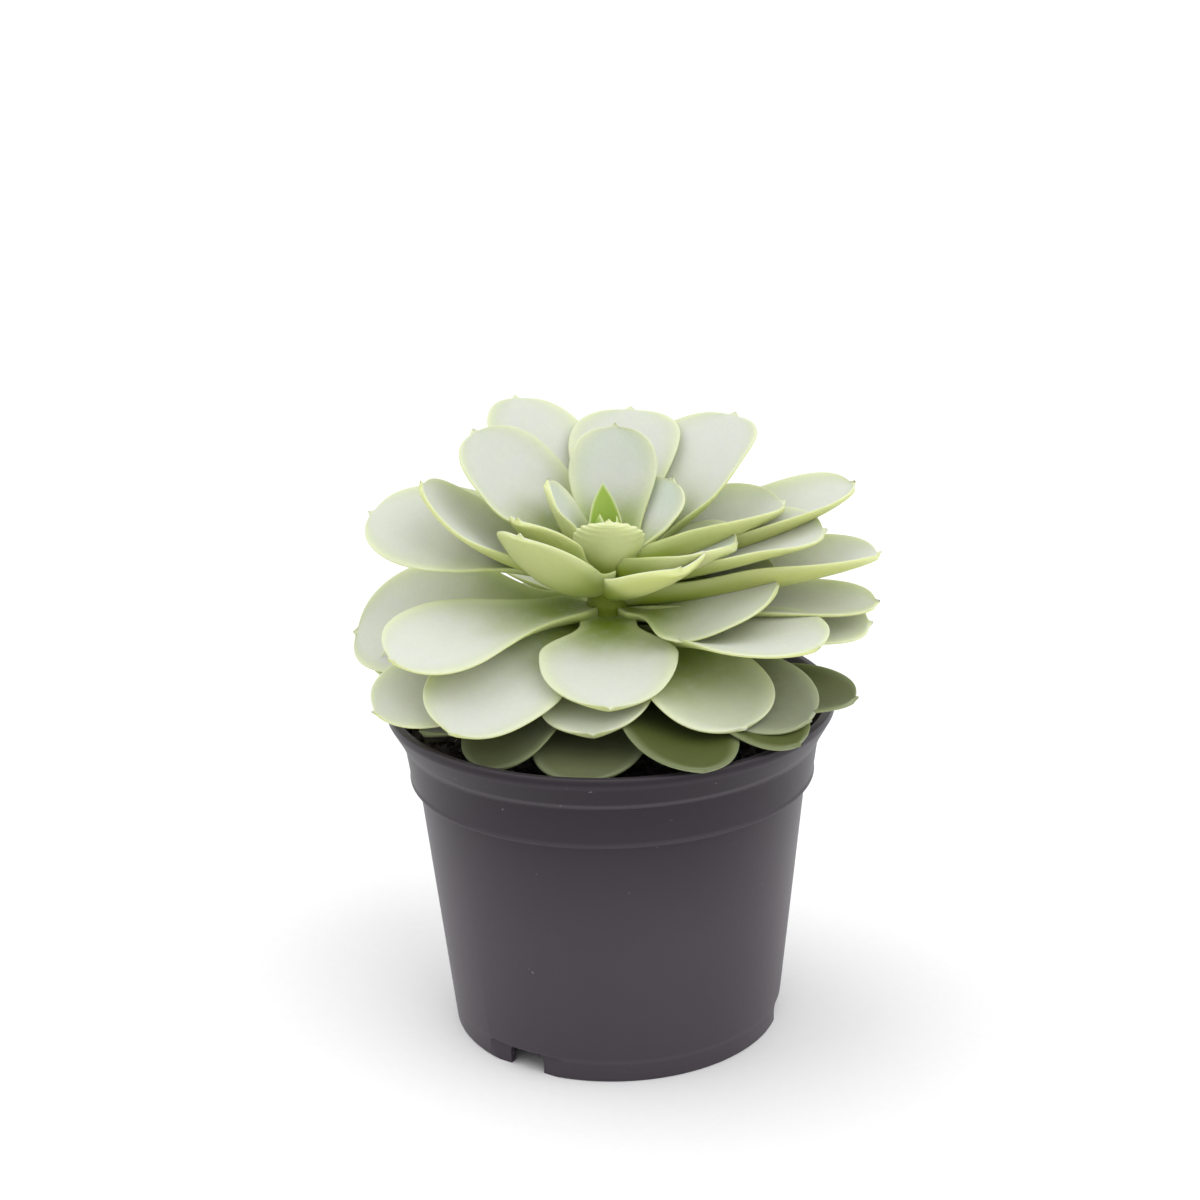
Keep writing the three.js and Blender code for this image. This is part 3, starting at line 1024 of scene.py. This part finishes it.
class SUCCULENT_OT_pot(bpy.types.Operator):
    """Mould the nursery pot"""

    bl_idname = "succulent.pot"
    bl_label = "Pot"

    def execute(self, context):
        settings = context.scene.succulent_pot
        shell = bpy.data.objects.new(
            "pot_blank", lathe(pot_profile(), settings.sides, "pot_blank"),
        )
        context.scene.collection.objects.link(shell)
        cutters = notch_cutters()
        cut = shell.modifiers.new("Notches", "BOOLEAN")
        cut.operation = "DIFFERENCE"
        cut.solver = "EXACT"
        cut.use_self = True
        cut.object = cutters
        context.view_layer.update()
        evaluated = shell.evaluated_get(context.evaluated_depsgraph_get())
        mesh = bpy.data.meshes.new_from_object(evaluated)
        mesh.name = "pot_shell"
        bpy.data.objects.remove(shell)
        bpy.data.objects.remove(cutters)
        mesh.materials.clear()
        mesh.materials.append(plastic_material(settings))
        shade_by_angle(mesh, 35)
        piece(mesh, "pot_shell", "pot")
        return {"FINISHED"}


def soil_bed_mesh():
    """The soil as one closed body with an uneven top around the stem."""
    wall = BAND_TOP[0] - WALL - GAP - 0.4
    profile = [(0, SOIL_RIM - 6), (wall - 1.2, SOIL_RIM - 6), (wall, SOIL_RIM - 0.5)]
    inner = STEM_RADIUS + 0.1
    for step in range(SOIL_RINGS + 1):
        share = step / SOIL_RINGS
        radius = wall + (inner - wall) * share
        profile.append((radius, SOIL_RIM + (SOIL_CROWN - SOIL_RIM - 0.8) * share))
    profile.append((inner, SOIL_RIM - 4))
    profile.append((0, SOIL_RIM - 4))
    return lathe(profile, SOIL_SIDES, "soil_bed")


def soil_tree():
    """Roughens the soil and scatters crumbs over its top."""
    tree = GeometryTree("Soil surface")
    amount = tree.input("Crumbs", "NodeSocketInt", SOIL_CRUMBS)
    seed = tree.input("Seed", "NodeSocketInt", SOIL_SEED)
    roughness = tree.input("Lumps", "NodeSocketFloat", SOIL_LUMPS * MM)
    soil = tree.input("Soil", "NodeSocketMaterial")
    grit = tree.input("Grit", "NodeSocketMaterial")

    place = tree.node("GeometryNodeInputPosition")
    parts = tree.node("ShaderNodeSeparateXYZ", None, {0: place.outputs[0]})
    height = tree.out(parts, 2)
    on_top = tree.smooth(height, (SOIL_RIM - 1) * MM, SOIL_RIM * MM)
    lumps = tree.noise(place.outputs[0], 110.0, 5.0, 0.6)
    fine = tree.noise(place.outputs[0], 420.0, 3.0, 0.6)
    rise = ((lumps - 0.5) * 1.6 + (fine - 0.5) * 0.5) * roughness * on_top
    offset = tree.node("ShaderNodeCombineXYZ", None, {0: 0.0, 1: 0.0, 2: rise})
    bed = tree.out(tree.node("GeometryNodeSetPosition", None, {
        "Geometry": tree.out(tree.entry, 0), "Offset": tree.out(offset),
    }))
    bed = tree.out(tree.node("GeometryNodeSetMaterial", None, {
        "Geometry": bed, "Material": soil,
    }))
    normal = tree.node("GeometryNodeInputNormal")
    facing = tree.node("ShaderNodeSeparateXYZ", None, {0: normal.outputs[0]})
    level = tree.node("FunctionNodeCompare", {"data_type": "FLOAT", "operation": "GREATER_THAN"}, {
        0: tree.out(facing, 2) + on_top, 1: 1.5,
    })
    spots = tree.node("GeometryNodeDistributePointsOnFaces", {"distribute_method": "RANDOM"}, {
        "Mesh": bed, "Selection": tree.out(level), "Density": 1.0, "Seed": seed,
    })
    area = math.pi * (BAND_TOP[0] * MM) ** 2
    tree.feed(spots.inputs["Density"], tree.math("DIVIDE", amount, area))

    def scatter(radius, low, high, chance, seed_shift, material):
        ball = tree.node("GeometryNodeMeshIcoSphere", None, {
            "Radius": radius, "Subdivisions": 2,
        })
        outwards = tree.out(tree.node("GeometryNodeInputNormal"))
        spot = tree.out(tree.node("GeometryNodeInputPosition"))
        warp = tree.node("ShaderNodeVectorMath", {"operation": "SCALE"}, {
            0: outwards, "Scale": (tree.noise(spot, 0.9 / radius, 2.0) - 0.5) * radius * 0.9,
        })
        lump = tree.out(tree.node("GeometryNodeSetPosition", None, {
            "Geometry": tree.out(ball), "Offset": tree.out(warp),
        }))
        lump = tree.out(tree.node("GeometryNodeSetMaterial", None, {
            "Geometry": lump, "Material": material,
        }))
        pick = tree.node("FunctionNodeRandomValue", {"data_type": "BOOLEAN"}, {
            "Probability": chance, "Seed": seed + seed_shift,
        })
        spin = tree.node("FunctionNodeRandomValue", {"data_type": "FLOAT_VECTOR"}, {
            0: (0, 0, 0), 1: (math.tau, math.tau, math.tau), "Seed": seed + seed_shift + 1,
        })
        size = tree.node("FunctionNodeRandomValue", {"data_type": "FLOAT_VECTOR"}, {
            0: (low, low, low * 0.7), 1: (high, high, high * 0.7), "Seed": seed + seed_shift + 2,
        })
        return tree.out(tree.node("GeometryNodeInstanceOnPoints", None, {
            "Points": tree.out(spots, "Points"),
            "Selection": tree.out(pick, "Value_003"),
            "Instance": lump,
            "Rotation": tree.out(spin, "Value"),
            "Scale": tree.out(size, "Value"),
        }))

    crumbs = scatter(
        radius=0.8 * MM, low=0.4, high=1.9, chance=0.985, seed_shift=11, material=soil,
    )
    stones = scatter(
        radius=0.7 * MM, low=0.5, high=1.4, chance=0.015, seed_shift=41, material=grit,
    )
    joined = tree.node("GeometryNodeJoinGeometry")
    for geometry in (bed, crumbs, stones):
        tree.feed(joined.inputs[0], geometry)
    whole = tree.out(tree.node("GeometryNodeRealizeInstances", None, {0: tree.out(joined)}))
    smooth = tree.node("GeometryNodeSetShadeSmooth", None, {"Geometry": whole})
    tree.finish(tree.out(smooth))
    return tree


class SUCCULENT_OT_soil(bpy.types.Operator):
    """Fill the pot with crumbly soil"""

    bl_idname = "succulent.soil"
    bl_label = "Soil"

    def execute(self, context):
        settings = context.scene.succulent_pot
        mesh = run_tree(soil_bed_mesh(), soil_tree(), {
            "Crumbs": settings.crumbs,
            "Seed": settings.seed,
            "Soil": soil_material(settings),
            "Grit": perlite_material(settings),
        }, "soil_bed")
        piece(mesh, "soil_bed", "soil")
        return {"FINISHED"}


def soft_light(name, strength, azimuth, elevation, spread):
    """A wide soft light from one side, its angles in degrees."""
    data = bpy.data.lights.new(name, "SUN")
    data.energy = strength
    data.angle = math.radians(spread)
    light = bpy.data.objects.new(name, data)
    around = math.radians(azimuth)
    above = math.radians(elevation)
    towards = Vector((
        math.cos(around) * math.cos(above), math.sin(around) * math.cos(above), math.sin(above),
    ))
    light.location = towards * LIGHT_DISTANCE
    light.rotation_euler = towards.to_track_quat("Z", "Y").to_euler()
    bpy.context.scene.collection.objects.link(light)


def studio_walls(settings):
    """White surroundings, dimmer low down at the front."""
    world = bpy.data.worlds.new("surroundings")
    world.use_nodes = True
    tree = Tree(world.node_tree)
    coordinates = tree.node("ShaderNodeTexCoord")
    parts = tree.node("ShaderNodeSeparateXYZ", None, {0: coordinates.outputs["Generated"]})
    front = tree.smooth(-tree.out(parts, 1), 0.0, 1.0)
    low = 1 - tree.smooth(tree.out(parts, 2), 0.1, 0.8)
    background = world.node_tree.nodes["Background"]
    background.inputs["Color"].default_value = (1.0, 1.0, 1.0, 1.0)
    tree.feed(background.inputs["Strength"], settings.sky * (1 - settings.front_dim * front * low))
    return world


def studio_camera(lens):
    """The camera at the photograph's angle, given by its pitch, yaw and roll."""
    elevation = math.radians(CAMERA_ELEVATION)
    pitch = math.radians(CAMERA_PITCH)
    yaw = math.radians(CAMERA_YAW)
    roll = math.radians(CAMERA_ROLL)
    place = Vector((
        0.0,
        -CAMERA_DISTANCE * math.cos(elevation),
        CAMERA_TARGET_Z + CAMERA_DISTANCE * math.sin(elevation),
    )) * MM
    ahead = Vector((
        math.sin(yaw) * math.cos(pitch), math.cos(yaw) * math.cos(pitch), -math.sin(pitch),
    ))
    level = ahead.cross(Vector((0, 0, 1))).normalized()
    above = level.cross(ahead)
    right = level * math.cos(roll) + above * math.sin(roll)
    up = above * math.cos(roll) - level * math.sin(roll)
    data = bpy.data.cameras.new("camera")
    data.lens = lens
    data.sensor_fit = "HORIZONTAL"
    data.sensor_width = 36.0
    data.clip_start = 0.01
    data.clip_end = 50.0
    camera = bpy.data.objects.new("camera", data)
    turn = Matrix((right, up, -ahead)).transposed()
    camera.matrix_world = Matrix.Translation(place) @ turn.to_4x4()
    bpy.context.scene.collection.objects.link(camera)
    bpy.context.scene.camera = camera


class SUCCULENT_OT_stage(bpy.types.Operator):
    """Set the floor, the lights and the camera"""

    bl_idname = "succulent.stage"
    bl_label = "Stage"

    def execute(self, context):
        settings = context.scene.succulent_stage
        shape = bmesh.new()
        bmesh.ops.create_grid(shape, x_segments=2, y_segments=2, size=FLOOR_REACH)
        mesh = bpy.data.meshes.new("floor")
        shape.to_mesh(mesh)
        shape.free()
        mesh.materials.append(floor_material(settings))
        floor = bpy.data.objects.new("floor", mesh)
        context.scene.collection.objects.link(floor)

        soft_light("key", settings.key_strength, *KEY_LIGHT)
        soft_light("fill", settings.fill_strength, *FILL_LIGHT)
        context.scene.world = studio_walls(settings)
        context.scene.view_settings.view_transform = "Standard"
        studio_camera(settings.lens)
        return {"FINISHED"}


class SUCCULENT_PT_panel(bpy.types.Panel):
    """Lists the succulent's pieces"""

    bl_label = "Potted Succulent"
    bl_idname = "SUCCULENT_PT_panel"
    bl_space_type = "VIEW_3D"
    bl_region_type = "UI"
    bl_category = "Succulent"

    def draw(self, context):
        for operator in OPERATORS:
            self.layout.operator(operator.bl_idname)
        for name in SETTINGS:
            group = getattr(context.scene, name)
            box = self.layout.box()
            for field in group.bl_rna.properties:
                if field.identifier not in {"rna_type", "name"}:
                    box.prop(group, field.identifier)


OPERATORS = (
    SUCCULENT_OT_leaves,
    SUCCULENT_OT_heart,
    SUCCULENT_OT_stem,
    SUCCULENT_OT_pot,
    SUCCULENT_OT_soil,
    SUCCULENT_OT_stage,
)
SETTINGS = {
    "succulent_plant": SucculentPlantSettings,
    "succulent_pot": SucculentPotSettings,
    "succulent_stage": SucculentStageSettings,
}


def register():
    for group in SETTINGS.values():
        bpy.utils.register_class(group)
    for name, group in SETTINGS.items():
        setattr(bpy.types.Scene, name, bpy.props.PointerProperty(type=group))
    for operator in OPERATORS:
        bpy.utils.register_class(operator)
    bpy.utils.register_class(SUCCULENT_PT_panel)


def unregister():
    bpy.utils.unregister_class(SUCCULENT_PT_panel)
    for operator in reversed(OPERATORS):
        bpy.utils.unregister_class(operator)
    for name in SETTINGS:
        delattr(bpy.types.Scene, name)
    for group in SETTINGS.values():
        bpy.utils.unregister_class(group)


def main():
    register()
    bpy.ops.succulent.leaves()
    bpy.ops.succulent.heart()
    bpy.ops.succulent.stem()
    bpy.ops.succulent.pot()
    bpy.ops.succulent.soil()
    bpy.ops.succulent.stage()


if __name__ == "__main__":
    main()
